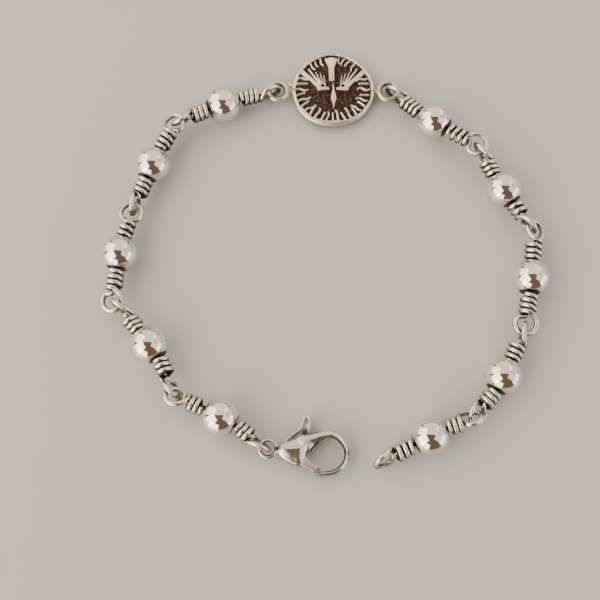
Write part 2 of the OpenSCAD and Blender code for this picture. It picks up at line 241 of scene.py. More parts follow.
def metal(name, bright, dark, rough, dark_rough, grime, grime_size, bump, bump_size):
    """Worn metal. The patina and painted shade of the mesh, spread by noise, turn it dark and dull."""
    material = bpy.data.materials.new(name)
    material.use_nodes = True
    tree = material.node_tree
    shader = tree.nodes["Principled BSDF"]
    coords = tree.nodes.new("ShaderNodeTexCoord").outputs["Object"]
    patina_and_shade = tree.nodes.new("ShaderNodeAttribute")
    patina_and_shade.attribute_name = "patina_and_shade"
    noise = add_node(tree, "ShaderNodeTexNoise",
                     {"Vector": coords, "Scale": 1 / (grime_size * MM), "Detail": 4})
    spread = add_node(tree, "ShaderNodeMapRange",
                      {"Value": noise.outputs["Fac"], "From Min": 0.35, "From Max": 0.7,
                       "To Min": -grime, "To Max": grime})
    worn_and_shaded = add_node(tree, "ShaderNodeMath", {0: patina_and_shade.outputs["Fac"], 1: spread.outputs["Result"]},
                    operation="ADD", use_clamp=True).outputs["Value"]
    colour = add_node(tree, "ShaderNodeMix", {"Factor": worn_and_shaded, "A": (*bright, 1), "B": (*dark, 1)},
                      data_type="RGBA")
    roughness = add_node(tree, "ShaderNodeMapRange",
                         {"Value": worn_and_shaded, "To Min": rough, "To Max": dark_rough})
    fine = add_node(tree, "ShaderNodeTexNoise",
                    {"Vector": coords, "Scale": 1 / (bump_size * MM), "Detail": 3})
    bump_height = 0.05 * MM
    raised = add_node(tree, "ShaderNodeBump",
                      {"Height": fine.outputs["Fac"], "Strength": bump, "Distance": bump_height})
    tree.links.new(colour.outputs["Result"], shader.inputs["Base Color"])
    tree.links.new(roughness.outputs["Result"], shader.inputs["Roughness"])
    tree.links.new(raised.outputs["Normal"], shader.inputs["Normal"])
    shader.inputs["Metallic"].default_value = 1.0
    return material


def plain(name, colour, rough):
    material = bpy.data.materials.new(name)
    material.use_nodes = True
    shader = material.node_tree.nodes["Principled BSDF"]
    shader.inputs["Base Color"].default_value = (*colour, 1)
    shader.inputs["Roughness"].default_value = rough
    return material


metals = {
    "bead_silver": metal("bead_silver", (0.83, 0.76, 0.66), (0.03, 0.02, 0.015), 0.1, 0.5,
                         grime=0.06, grime_size=0.9, bump=0.2, bump_size=1.6),
    "wire_silver": metal("wire_silver", (0.74, 0.67, 0.57), (0.028, 0.018, 0.013), 0.2, 0.5,
                         grime=0.16, grime_size=0.9, bump=0.2, bump_size=0.4),
    "cast_silver": metal("cast_silver", (0.76, 0.70, 0.59), (0.045, 0.022, 0.014), 0.3, 0.6,
                         grime=0.09, grime_size=0.5, bump=0.5, bump_size=0.35),
    "clasp_silver": metal("clasp_silver", (0.72, 0.67, 0.61), (0.06, 0.042, 0.03), 0.16, 0.45,
                          grime=0.14, grime_size=1.2, bump=0.2, bump_size=0.6),
}


# Meshes

def store(name, points, faces, patina_and_shade, body, node, slot):
    """Makes the object that shows in place of a node. Its points carry their patina and painted shade,
    from 0 to 1.
    """
    mesh = bpy.data.meshes.new(name)
    mesh.from_pydata((np.asarray(points) * MM).tolist(), [], faces)
    shade = mesh.attributes.new("patina_and_shade", "FLOAT", "POINT")
    shade.data.foreach_set("value", np.clip(patina_and_shade, 0, 1).astype(np.float32))
    mesh.polygons.foreach_set("use_smooth", [True] * len(mesh.polygons))
    mesh.update()
    mesh.materials.append(metals[slot])
    obj = bpy.data.objects.new(name, mesh)
    bpy.context.scene.collection.objects.link(obj)
    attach(obj, body)
    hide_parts(node)


def frames(path, closed):
    """Side and top directions along a path, carried without twisting."""
    if closed:
        way = unit(np.roll(path, -1, 0) - np.roll(path, 1, 0))
    else:
        way = unit(np.gradient(path, axis=0))
    side = np.empty_like(path)
    n = np.cross(way[0], [0.3, 0.5, 0.8])
    for i, t in enumerate(way):
        n = unit(n - (n @ t) * t)
        side[i] = n
    return side, np.cross(way, side)


def grid_faces(rows, columns, closed_rows=False, flip=False):
    """Faces between rows of points, each row a ring."""
    i = np.arange(rows if closed_rows else rows - 1)
    i, j = np.meshgrid(i, np.arange(columns), indexing="ij")
    next_i = (i + 1) % rows
    next_j = (j + 1) % columns
    a = i * columns + j
    b = next_i * columns + j
    c = next_i * columns + next_j
    d = i * columns + next_j
    return np.stack([a, b, c, d] if flip else [a, d, c, b], -1).reshape(-1, 4).tolist()


def end_faces(rows, columns):
    """The two faces that close the first and the last ring of a grid."""
    first = list(range(columns))
    return [first, [(rows - 1) * columns + k for k in reversed(first)]]


def tube(path, radius, sides, closed=False):
    """Points, directions out of the tube and faces of a round tube."""
    side, top = frames(path, closed)
    a = around(sides)
    out = np.cos(a)[None, :, None] * side[:, None] + np.sin(a)[None, :, None] * top[:, None]
    points = path[:, None] + np.asarray(radius).reshape(-1, 1, 1) * out
    faces = grid_faces(len(path), sides, closed_rows=closed, flip=True)
    if not closed:
        faces += end_faces(len(path), sides)
    return points.reshape(-1, 3), out.reshape(-1, 3), faces


def joined(meshes):
    """Points and faces of several meshes as one."""
    faces = []
    base = 0
    for points, own_faces in meshes:
        faces += [[k + base for k in face] for face in own_faces]
        base += len(points)
    return np.concatenate([points for points, _ in meshes]), faces


# The wire of a link. Angles round a loop are in degrees from the way out of the bead

wire_sides = 18
loop_from = -115
loop_to = 145
loop_step = 5.0
climb_from = 45
climb_share = 0.65
climb_slope = 0.35
# How hard the wire pulls into its curves, in loop radii: from the stem, into the loop, and over
# the stem
stem_pull = 1.92
loop_pull = 1.41
cross_pull = 0.75
# The stem stops this many wire thicknesses short of the loop
stem_short = 0.2
stem_points = 12
elbow_shares = np.arange(0, 0.99, 1 / 14)
cross_shares = np.arange(0, 0.99, 0.1)
wrap_step = 15.0
wrap_slack = 0.01
# How far the wraps stray along the stem, and the ranges of how fast and from where
wrap_stray = 0.03
stray_rate = (0.7, 1.2)
stray_start = (0, 6)
# How oval a loop is at most, and how the wire's radius wavers
most_oval = 0.03
wire_waver = 0.02
wire_waver_size = 2.5
# How far the rounded cut ends stick out, and their radius as shares of the wire's
tip_out = np.array([0.02, 0.07])
tip_share = np.array([0.96, 0.82])
# Patina and painted shade on the inner sides of the loops and between the wraps, and painted shade on
# the low sides, with the cosines between which each one starts and is full
loop_patina_and_shade = 0.75
loop_fade = (0.15, 0.85)
wrap_fade = (-0.78, -0.45)
low_painted_shade = 0.85
low_fade = (-0.6, -0.1)


def half_wire(end, seed):
    """Half of a link's path from the bead on, with x out to the loop. Each point also has the way
    to its clean, lit outer side, which stays free of patina and painted shade, whether it is on the
    stem, and how far it has gone from loop to wrap."""
    rng = np.random.default_rng(seed)
    loop_x = reach(end)
    neck_x = loop_x - loop_r - stem_short * wire_d
    oval = rng.uniform(-most_oval, most_oval)

    def loop_at(a):
        climb = wrap_r * ease(climb_share * (a - climb_from) / (loop_to - climb_from))
        return np.stack([loop_x + loop_r * (1 + oval) * cosd(a), loop_r * (1 - oval) * sind(a),
                         np.where(a < climb_from, 0, climb)], -1)

    start, finish = loop_at(np.array([loop_from, loop_to], float))
    start_way = np.array([-sind(loop_from), cosd(loop_from), 0])
    finish_way = np.array([-sind(loop_to), cosd(loop_to), climb_slope])
    over_stem = np.array([cross_x(end), 0, wrap_r])
    stem_x = np.append(bead_r - wire_d, np.linspace(bead_r, neck_x, stem_points)[:-1])
    stem = stem_x[:, None] * [1, 0, 0]
    elbow = bend(np.array([neck_x, 0, 0]), np.array([stem_pull * loop_r, 0, 0]),
                 start, start_way * loop_pull * loop_r, elbow_shares)
    loop = loop_at(np.arange(loop_from, loop_to, loop_step))
    cross = bend(finish, finish_way * cross_pull * loop_r,
                 over_stem, np.array([0, -cross_pull * loop_r, 0]), cross_shares)
    w = np.arange(0, 360 * end[TURNS] + 0.1, wrap_step)
    stray = wrap_stray * np.sin(np.radians(w) * rng.uniform(*stray_rate) + rng.uniform(*stray_start))
    wraps = np.stack([cross_x(end) - pitch(end) * w / 360 + stray,
                      -(wrap_r + wrap_slack) * sind(w), (wrap_r + wrap_slack) * cosd(w)], -1)
    pieces = [stem, elbow, loop, cross, wraps]
    counts = [len(piece) for piece in pieces]
    points = np.concatenate(pieces)
    on_stem = np.repeat([True, False, False, False, False], counts)
    wrapped = np.repeat([False, False, False, False, True], counts)
    clean_lit_way = points - [loop_x, 0, 0]
    clean_lit_way[wrapped, 0] = 0
    clean_lit_way[on_stem] = [0, 0, 1]
    blend = np.concatenate([np.zeros(sum(counts[:3])), ease(cross_shares), np.ones(len(wraps))])
    return points, unit(clean_lit_way), on_stem, blend


def place(p, bead, ways):
    """Puts a half wire into the part. It bends where it leaves the bead."""
    along, out, across, square = ways
    return (bead + np.minimum(p[:, :1], bead_r) * along + np.maximum(p[:, :1] - bead_r, 0) * out
            + p[:, 1:2] * across + p[:, 2:3] * square)


def turned(v, ways):
    _, out, across, square = ways
    return v[:, :1] * out + v[:, 1:2] * across + v[:, 2:3] * square


def build_link(node, row, bead, seed):
    halves = []
    for outer in (False, True):
        points, clean_lit_way, on_stem, blend = half_wire(end_of(row, outer), seed + outer)
        ways = axes(row, outer)
        half = [place(points, bead, ways), turned(clean_lit_way, ways), on_stem, blend]
        if not outer:
            half = [values[::-1] for values in half]
        halves.append(half)
    path, clean_lit_way, on_stem, blend = (np.concatenate(pair) for pair in zip(*halves))
    radius = wire_d / 2 * (1 + wire_waver * wobble(path, seed, wire_waver_size))
    first_way = unit(path[0] - path[1])
    last_way = unit(path[-1] - path[-2])
    path = np.concatenate([path[0] + tip_out[::-1, None] * first_way, path,
                           path[-1] + tip_out[:, None] * last_way])
    radius = np.concatenate([radius[0] * tip_share[::-1], radius, radius[-1] * tip_share])
    padded = np.pad(np.arange(len(blend)), len(tip_out), mode="edge")
    clean_lit_way, on_stem, blend = clean_lit_way[padded], on_stem[padded, None], blend[padded, None]
    points, out, faces = tube(path, radius, wire_sides)
    out = out.reshape(-1, wire_sides, 3)
    away = -(out * clean_lit_way[:, None]).sum(2)
    # Patina and painted shade on the inner sides of the loops, between the wraps and on the bare stems,
    # and painted shade on the low sides
    dark = loop_patina_and_shade * rise(away, *loop_fade) * (1 - blend) + rise(away, *wrap_fade) * blend
    dark = np.where(on_stem, 1.0, dark)
    dark = np.maximum(dark, low_painted_shade * rise(-out[..., 2], *low_fade))
    store(f"{node}_look", points, faces, dark.reshape(-1), "bracelet", node, "wire_silver")


# The beads

mouth_edge = 0.1
lip_angles = np.linspace(8, 82, 5)
# The flat face stands out a little, and stops short of the ball
face_out = 0.01
face_short = 0.06
face_points = 5
arc_points = 66
hollow_points = 24
bead_sides = 96
# Dents as a share of the radius, and the ragged edge of the patina and painted shade on the ends, each
# with its size along the bead
dent = 0.0022
dent_size = 3.0
smudge = 0.12
smudge_size = 1.5
# The patina and painted shade of the ends fade between these distances past the rim of the flat face
end_fade = (-0.05, 0.35)
# How far beyond the hollow a point still counts as inside, for the dents and for the dark inside
dent_margin = 0.1
dark_margin = 0.2


def build_bead(node, row, at, seed):
    """A hollow bead turned round its hole, with flattened ends darkened by patina and painted shade, a
    dark inside, and softened mouths.
    """
    half_bore = bead_bore / 2
    inner_r = bead_r - bead_wall
    flat = math.acos(bead_half / bead_r)
    flat_r = bead_r * math.sin(flat)
    outer = np.linspace(flat, math.pi - flat, arc_points)
    arc = np.stack([bead_r * np.cos(outer), bead_r * np.sin(outer)], -1)
    face_r = np.linspace(flat_r - face_short, half_bore + mouth_edge, face_points)
    face = np.stack([bead_half + face_out + 0 * face_r, face_r], -1)
    lip = np.radians(lip_angles)
    lips = np.stack([bead_half - mouth_edge * (1 - np.cos(math.pi / 2 - lip)),
                     half_bore + mouth_edge * (1 - np.cos(lip))], -1)
    lips = lips[np.argsort(-lips[:, 1])]
    bore_angle = math.asin(half_bore / inner_r)
    inner = np.linspace(math.pi - bore_angle, bore_angle, hollow_points)
    hollow = np.stack([inner_r * np.cos(inner), inner_r * np.sin(inner)], -1)
    end = np.concatenate([face, lips])
    profile = np.concatenate([arc, end * [-1, 1], hollow, end[::-1]])
    hole = direction(row[HEADING], row[TILT])
    side = unit(np.cross([0, 0, 1], hole))
    top = np.cross(hole, side)
    turn = around(bead_sides)
    ring = np.cos(turn)[None, :, None] * side + np.sin(turn)[None, :, None] * top
    points = (profile[:, None, :1] * hole + profile[:, None, 1:] * ring).reshape(-1, 3)
    out = np.linalg.norm(points, axis=1, keepdims=True)
    dents = dent * wobble(points, seed, dent_size)[:, None] * (out > inner_r + dent_margin)
    points = points * (1 + dents)
    off_axis = np.linalg.norm(points - (points @ hole)[:, None] * hole, axis=1)
    # The ends get patina and painted shade, and the inside of the bead is dark
    past_face = off_axis + smudge * wobble(points, seed + 1, smudge_size) - flat_r
    dark = 1 - rise(past_face, *end_fade)
    dark = np.where(out[:, 0] < inner_r + dark_margin, 1.0, dark)
    faces = grid_faces(len(profile), bead_sides, closed_rows=True, flip=True)
    store(f"{node}_look", points + at, faces, dark, "bracelet", node, "bead_silver")


# The medal

# Strokes of the dove: x, y and half width at each end of a stroke. First the tail's feathers and
# the fan at their ends, then the body, and the feathers of the left wing from the leading one
# inwards, and its arm
TAIL = [
    [-0.57, 1.85, 0.20, -0.60, 4.6, 0.22], [-0.21, 1.72, 0.21, -0.24, 4.6, 0.22],
    [0.15, 1.85, 0.20, 0.13, 4.6, 0.22], [-0.60, 4.4, 0.22, -1.22, 6.1, 0.30],
    [-0.42, 4.4, 0.20, -0.72, 6.3, 0.26], [-0.24, 4.4, 0.20, -0.27, 6.35, 0.26],
    [-0.05, 4.4, 0.20, 0.18, 6.3, 0.26], [0.13, 4.4, 0.22, 0.62, 6.1, 0.28],
]
BODY = [
    [0.03, 1.3, 0.14, 0.06, 0.6, 0.22], [0.06, 0.6, 0.22, 0.10, -0.3, 0.30],
    [0.10, -0.3, 0.30, 0.12, -1.2, 0.52], [0.12, -1.2, 0.52, 0.12, -1.9, 0.60],
    [0.12, -1.9, 0.60, 0.13, -3.0, 0.27], [0.13, -3.0, 0.27, 0.13, -4.05, 0.05],
]
WING = [
    [-2.45, 0.40, 0.46, -5.45, 3.6, 0.32], [-2.3, 1.05, 0.28, -4.45, 4.05, 0.20],
    [-2.15, 1.2, 0.20, -3.1, 3.4, 0.16], [-1.8, 1.1, 0.18, -2.3, 3.1, 0.15],
    [-1.4, 0.6, 0.19, -1.65, 2.8, 0.14], [-0.95, 0.12, 0.36, -2.5, 0.08, 0.46],
]
wing_height = 0.95
stroke_edge = 0.2
body_edge = 0.24
# Bearings of the rays, long ones by turns straight and wavy, and short ones between the tail and
# the wings, with the radius at which each kind ends
LONG_RAYS = range(150, 391, 10)
SHORT_RAYS = [53, 62, 71, 80, 111, 120, 129]
long_ray_end = 6.55
short_ray_end = 6.5
ray_seed = 8
# Where straight and wavy long rays start, and the ranges of how far they stray from that, of
# their half width, wave, lean and height. Then the same for the short ones, whose wave and height
# are fixed
straight_from = 4.95
wavy_from = 4.6
long_stray = (-0.25, 0.3)
long_half = (0.2, 0.27)
long_wave = (0.05, 0.2)
long_lean = (-0.3, 0.3)
long_height = (0.78, 0.92)
short_from = (5.1, 5.5)
short_half = (0.18, 0.24)
short_lean = (-0.25, 0.25)
short_wave = 0.12
short_height = 0.8
# A ray waves this fast, and counts only within so many degrees. Elsewhere it is far off
wave_rate = 3.1
ray_near = 25
ray_far_off = 9
# Heights of the relief, of the grain in the field, with the fine grain's share, and of the rim's
# top below the medal's full thickness
relief_h = 0.56
grain_h = 0.012
fine_share = 0.6
rim_drop = 0.05
# The rim climbs and its top rounds off between these distances past its start, and its top wavers
rim_climb = (-0.22, 0.12)
rim_round = 0.06
rim_round_span = (0.1, 0.4)
rim_waver = 0.025
# The patina fades between these shares of the height from the field to the full thickness
height_fade = (0.18, 0.62)
edge_patina = 0.12
# Painted shade on the medal's side wall and bevelled back
wall_painted_shade = 0.6
back_patina = 0.3
# Points round the disc
disc_points = 540
# Rings of points as shares of the way out, the first one next to the middle, and the back's inner
# ring
face_shares = np.concatenate([[0.0015], np.linspace(0.02, 1, 118)])
back_share = 0.5
# How far in the rounded edge starts, how far it drops, and where round it the points lie
edge_in = 0.42
edge_drop = 0.5
EDGE_ANGLES = range(15, 91, 15)
# The side and the bevelled back: how far in from the outline, and how high
BACK = [[0, 0.95], [0.06, 0.78], [0.2, 0.6], [0.4, 0.4], [0.56, 0.2], [0.7, 0]]
# A lump of the casting beside the left neck: x, y, z and radius
LUMP = [[-7.2, 1.0, 1.45, 0.3], [-7.5, 1.15, 1.6, 0.36], [-7.8, 1.3, 1.65, 0.37],
        [-8.05, 1.4, 1.62, 0.28], [-8.2, 1.44, 1.58, 0.1]]
lump_patina = 0.1
# The cast rings: sides, waver, patina all over, and what their inner side has on top of it
ring_sides = 22
ring_waver = 0.05
ring_patina = 0.15
ring_inner_patina = 0.75
ring_inner_fade = (0.1, 0.8)
# The necks: how deep in the disc they start, length, least radius and flare, and how far below
# the ring's middle
neck_in = 0.35
neck_l = 1.15
neck_r = 0.52
neck_flare = 0.12
neck_down = 0.03
neck_sides = 20
# Painted shade on the necks
neck_painted_shade = 0.55


def outline(turn):
    a = np.degrees(turn)
    return medal_r * (1 + 0.014 * cosd(2 * a) + 0.016 * cosd(3 * a + 47) + 0.004 * cosd(5 * a - 98))


def rim_width(turn):
    return (0.66 + 0.15 * np.cos(turn - 4.3) + 0.06 * np.sin(3 * turn + 1) + 0.05 * np.sin(7 * turn)
            + 0.05 * np.sin(13 * turn + 2) + 0.03 * np.sin(29 * turn))


def stroke(p, a, b, ra, rb):
    """Distance to a stroke from a to b whose half width goes from ra to rb. It is negative inside."""
    a, b = np.array(a, float), np.array(b, float)
    v = b - a
    t = np.clip(((p - a) @ v) / (v @ v), 0, 1)
    return np.linalg.norm(p - a - t[:, None] * v, axis=1) - (ra + (rb - ra) * t)


def ray(p, bearing, inner, outer, half, wave, lean):
    """Distance to a ray that runs out from the middle. It is negative inside."""
    r = np.linalg.norm(p, axis=1)
    off = (np.degrees(np.arctan2(p[:, 1], p[:, 0])) - bearing + 180) % 360 - 180
    across = np.radians(off) * r - wave * np.sin((r - inner) * wave_rate) - lean * (outer - r)
    along = np.maximum(np.maximum(inner - r, r - outer), 0)
    return np.where(np.abs(off) < ray_near, np.hypot(across, along) - half, ray_far_off)


def swell(distance, edge):
    """Rounded height from 0 to 1 inside a shape."""
    t = np.clip(-distance / edge, 0, 1)
    return np.sqrt(np.clip(1 - (1 - t) ** 2, 0, 1))


def relief(p):
    """Height of the relief at points p, from 0 at the field to 1 at the top."""
    h = np.zeros(len(p))
    strokes = [(row, 1, 1, stroke_edge) for row in TAIL]
    strokes += [(row, 1, 1, body_edge) for row in BODY]
    strokes += [(row, sign, wing_height, stroke_edge) for row in WING for sign in (1, -1)]
    for (ax, ay, ar, bx, by, br), sign, height, edge in strokes:
        d = stroke(p, (sign * ax, ay), (sign * bx, by), ar, br)
        h = np.maximum(h, height * swell(d, edge))
    rng = np.random.default_rng(ray_seed)
    for k, bearing in enumerate(LONG_RAYS):
        wavy = k % 2
        inner = (wavy_from if wavy else straight_from) + rng.uniform(*long_stray)
        half = rng.uniform(*long_half)
        wave = rng.uniform(*long_wave) * wavy
        lean = rng.uniform(*long_lean)
        d = ray(p, bearing, inner, long_ray_end, half, wave, lean)
        h = np.maximum(h, rng.uniform(*long_height) * swell(d, stroke_edge))
    for bearing in SHORT_RAYS:
        inner = rng.uniform(*short_from)
        half = rng.uniform(*short_half)
        lean = rng.uniform(*short_lean)
        d = ray(p, bearing, inner, short_ray_end, half, short_wave, lean)
        h = np.maximum(h, short_height * swell(d, stroke_edge))
    return h


def medal_face(p, r, rim):
    """Height and patina at points p, which are r from the middle. The rim starts at the radius rim."""
    flat = np.concatenate([p, np.zeros((len(p), 1))], 1)
    grain = wobble(flat, seed=3, scale=0.9) + fine_share * wobble(flat, seed=4, scale=0.45)
    z = field_z + relief_h * relief(p) + grain_h * grain
    past_rim = r - rim
    top = (medal_t - rim_drop - rim_round * rise(past_rim, *rim_round_span)
           + rim_waver * wobble(flat, seed=5, scale=2.2))
    z = np.maximum(z, field_z + (top - field_z) * rise(past_rim, *rim_climb))
    height = (z - field_z) / (medal_t - field_z)
    return z, 1 - rise(height, *height_fade)


def medal_disc():
    """Points, faces and patina of the disc, with painted shade on its side and bevelled back."""
    turn = around(disc_points)
    ways = np.stack([np.cos(turn), np.sin(turn)], -1)
    edge = outline(turn)
    flat_edge = edge - edge_in
    r = face_shares[:, None] * flat_edge
    p = (r[..., None] * ways).reshape(-1, 2)
    rim = np.tile(edge - rim_width(turn), len(face_shares))
    z, dark = medal_face(p, r.reshape(-1), rim)
    points = [np.concatenate([p, z[:, None]], 1)]
    shade = [dark]

    def add_ring(radius, height, patina_and_shade):
        heights = np.broadcast_to(height, disc_points)[:, None]
        points.append(np.concatenate([radius[:, None] * ways, heights], 1))
        shade.append(np.full(disc_points, patina_and_shade))

    face_edge_z = z[-disc_points:]
    for a in EDGE_ANGLES:
        add_ring(flat_edge + edge_in * sind(a), face_edge_z - edge_drop * (1 - cosd(a)), edge_patina)
    # The side and the bevelled back get painted shade
    for inset, height in BACK:
        add_ring(edge - inset, height, wall_painted_shade)
    add_ring(back_share * edge, 0, back_patina)
    points = np.concatenate(points) + [0, disc_y, 0]
    rings = len(points) // disc_points
    faces = grid_faces(rings, disc_points) + end_faces(rings, disc_points)
    return points, faces, np.concatenate(shade)


def medal_ring(sign):
    """Points, faces and patina of a cast ring."""
    centre = np.array([sign * ring_x, 0, ring_z])
    path = centre + circle(ring_r)
    radius = ring_wire / 2 * (1 + ring_waver * wobble(path, seed=11, scale=2.0))
    points, out, faces = tube(path, radius, ring_sides, closed=True)
    outward_way = unit(path - centre)[:, None]
    inward = -(out.reshape(-1, ring_sides, 3) * outward_way).sum(2).reshape(-1)
    return points, faces, ring_patina + ring_inner_patina * rise(inward, *ring_inner_fade)


def medal_neck(sign):
    """Points, faces and painted shade of the neck between the disc and a ring."""
    s = np.linspace(0, 1, 9)
    x = medal_r - neck_in + s * neck_l
    path = np.stack([sign * x, 0 * s, np.full(len(s), ring_z - neck_down)], -1)
    points, _, faces = tube(path, neck_r + neck_flare * (2 * s - 1) ** 2, neck_sides)
    return points, faces, np.full(len(points), neck_painted_shade)


def medal_lump():
    rows = np.array(LUMP)
    points, _, faces = tube(rows[:, :3], rows[:, 3], neck_sides)
    return points, faces, np.full(len(points), lump_patina)


def build_medal():
    parts = [medal_disc()]
    for sign in (-1, 1):
        parts += [medal_ring(sign), medal_neck(sign)]
    parts.append(medal_lump())
    points, faces = joined([part[:2] for part in parts])
    dark = np.concatenate([part[2] for part in parts])
    store("medal_look", points, faces, dark, "bracelet", "medal", "cast_silver")


# The clasp, lying along x with its small ring at the origin. Its places and sizes are those of
# the part, as shares of the clasp's length, width and half thickness

# x, y, half width and half thickness, and what only the look has: where the ridge stands as a
# share of the half width, and how high the two edges stand as shares of the ridge, right of the
# way and then left of it
HOOK = [
    [0.326, 0.039, 0.195, 0.80, 0.20, 0.60, 0.65], [0.437, 0.140, 0.231, 0.93, 0.13, 0.50, 0.62],
    [0.526, 0.232, 0.161, 0.88, 0.13, 0.42, 0.62], [0.619, 0.325, 0.121, 0.78, -0.10, 0.45, 0.62],
    [0.733, 0.394, 0.083, 0.70, -0.40, 0.50, 0.62], [0.822, 0.368, 0.075, 0.66, -0.40, 0.50, 0.60],
    [0.893, 0.273, 0.073, 0.65, -0.35, 0.50, 0.55], [0.944, 0.143, 0.069, 0.64, -0.30, 0.50, 0.50],
    [0.963, -0.006, 0.065, 0.64, -0.25, 0.50, 0.45], [0.948, -0.162, 0.064, 0.64, -0.2, 0.50, 0.45],
    [0.904, -0.292, 0.062, 0.64, -0.2, 0.52, 0.50], [0.837, -0.390, 0.064, 0.64, -0.2, 0.55, 0.55],
    [0.756, -0.442, 0.065, 0.64, -0.2, 0.55, 0.55], [0.681, -0.455, 0.066, 0.62, -0.2, 0.55, 0.55],
    [0.630, -0.472, 0.048, 0.58, -0.2, 0.6, 0.6], [0.575, -0.502, 0.018, 0.48, 0, 0.7, 0.7],
]
SHELL = [
    [0.090, 0.000, 0.045, 0.26, 0, 0.80, 0.80], [0.125, 0.002, 0.105, 0.75, 0, 0.70, 0.70],
    [0.175, -0.020, 0.173, 0.92, 0.17, 0.64, 0.66], [0.245, -0.034, 0.232, 0.98, 0.22, 0.62, 0.64],
    [0.320, -0.025, 0.292, 0.99, 0.18, 0.62, 0.62], [0.385, -0.008, 0.338, 0.99, 0.13, 0.62, 0.60],
    [0.437, 0.003, 0.351, 0.98, 0.48, 0.42, 0.60], [0.462, 0.093, 0.276, 0.94, 0.39, 0.36, 0.60],
    [0.490, 0.173, 0.178, 0.88, 0.29, 0.36, 0.60],
]
LEVER = [
    [0.442, 0.752], [0.456, 0.745], [0.471, 0.728], [0.485, 0.698], [0.494, 0.655], [0.496, 0.590],
    [0.493, 0.500], [0.483, 0.400], [0.456, 0.260], [0.425, 0.120], [0.408, 0.000], [0.430, -0.080],
    [0.466, -0.134], [0.517, -0.230], [0.593, -0.304], [0.649, -0.357], [0.620, -0.405],
    [0.577, -0.446], [0.524, -0.395], [0.437, -0.325], [0.370, -0.258], [0.311, -0.215],
    [0.252, -0.150], [0.226, -0.052], [0.208, 0.070], [0.204, 0.190], [0.212, 0.222],
    [0.262, 0.292], [0.311, 0.364], [0.345, 0.420], [0.368, 0.482], [0.381, 0.550],
    [0.393, 0.628], [0.406, 0.705], [0.420, 0.744],
]
SLOT = [
    [0.134, 0.150], [0.120, 0.420], [0.500, 0.900], [0.600, 0.700], [0.506, 0.430], [0.476, 0.255],
    [0.448, 0.130], [0.440, 0.060], [0.505, 0.020], [0.600, -0.060], [0.600, -0.500],
    [0.430, -0.450], [0.395, -0.335], [0.310, -0.265], [0.225, -0.195], [0.195, -0.105],
    [0.165, 0.000],
]
body_voxel = 0.075
lever_voxel = 0.06
smooth_steps = 3
loft_sides = 48
# Steps of the curve from one row to the next
row_steps = 8
lever_steps = 4
# How square a section is at its sides, and at its top and bottom. 1 is round, and less is squarer
side_power = 0.75
top_power = 0.35
clasp_ring_sides = 20
clean_patina = 0.1
# Where the shell's nose meets the ring, with the distances between which its patina fades
nose_x = 1.75
nose_fade = (0.2, 0.7)
nose_patina = 0.8
# Where along x the slot's flat walls show, how flat they are, how much thicker than the slot
# they may lie, and the painted shade on them
slot_from = 1.8
slot_to = 8.2
slot_upright = 0.6
slot_margin = 0.02
slot_painted_shade = 0.9
# The inner side of the small ring
ring_hole_margin = 0.05
ring_hole_patina = 0.7
# The middle of the hole in the hook. The hook's far half has a line of painted shade on its inner side,
# and its near half is left without painted shade there
hole_middle = [9.4, -0.1]
far_half_x = (9.0, 10.4)
inner_line_fade = (0.45, 0.85)
inner_line_painted_shade = 0.9
near_unshaded_fade = (0.2, 0.6)
# How steep a face counts as a side, as the height of its normal, and the painted shade of the sides
side_fade = (0.1, 0.5)
body_side_painted_shade = 0.55
lever_side_painted_shade = 0.8
# The lever's flat faces, and on the trigger the painted highlight spot and the painted shade at its
# foot: place, squeeze along y and spread
flat_upright = 0.7
painted_highlight_spot = ((6.15, 4.1), 0.35, 0.12)
painted_highlight_share = 0.8
foot_shade_spot = ((6.1, 2.95), 1, 0.4)
foot_painted_shade = 0.8
# Patina and painted shade in the trigger's hollow
hollow_patina_and_shade = 0.62
# The gate, with a darker middle and tip
gate_x = (5.6, 6.3)
gate_y = (0.6, 1.2)
gate_inset = (0.12, 0.3)
gate_patina = 0.3
gate_tip_x = (7.9, 8.6)
gate_tip_patina = 0.6
# The strip of the lever along the shell, which gets painted shade: how far in from the outline, and
# between which heights along y
strip_inset = (0.1, 0.26)
strip_y = 0.2
strip_end_y = (2.9, 3.4)
strip_painted_shade = 0.85
# The hollow in the trigger: its depth, how far in from the outline it starts and is full, and
# where along y
hollow_depth = 0.24
hollow_inset = (0.14, 0.42)
hollow_y = (1.5, 2.6)


def spline(rows, steps, closed=False):
    """A smooth curve through the rows, as points and every other column."""
    rows = np.asarray(rows, float)
    n = len(rows)
    s = np.arange(steps) / steps
    out = []
    for i in range(n if closed else n - 1):
        if closed:
            a, b, c, d = rows[i - 1], rows[i], rows[(i + 1) % n], rows[(i + 2) % n]
        else:
            a, b, c, d = rows[max(i - 1, 0)], rows[i], rows[i + 1], rows[min(i + 2, n - 1)]
        out.append(bend(b, (c - a) / 2, c, (d - b) / 2, s))
    if not closed:
        out.append(rows[-1:])
    return np.concatenate(out)


def loft(rows, way):
    """A solid through sections with a ridge."""
    a = (np.arange(loft_sides) + 0.5) / loft_sides * 2 * math.pi
    c, s = np.cos(a), np.sin(a)
    x = np.sign(c) * np.abs(c) ** side_power
    round_off = np.abs(s) ** top_power
    points = []
    for row, w in zip(rows, way):
        ridge, right, left = row[4:]
        slope = np.where(x < ridge, right + (1 - right) * (x + 1) / (ridge + 1),
                         left + (1 - left) * (1 - x) / (1 - ridge))
        z = np.sign(s) * slope * round_off
        points.append(np.stack([row[0] - w[1] * x * row[2], row[1] + w[0] * x * row[2],
                                z * row[3]], -1))
    faces = grid_faces(len(rows), loft_sides) + end_faces(len(rows), loft_sides)
    return np.concatenate(points), faces


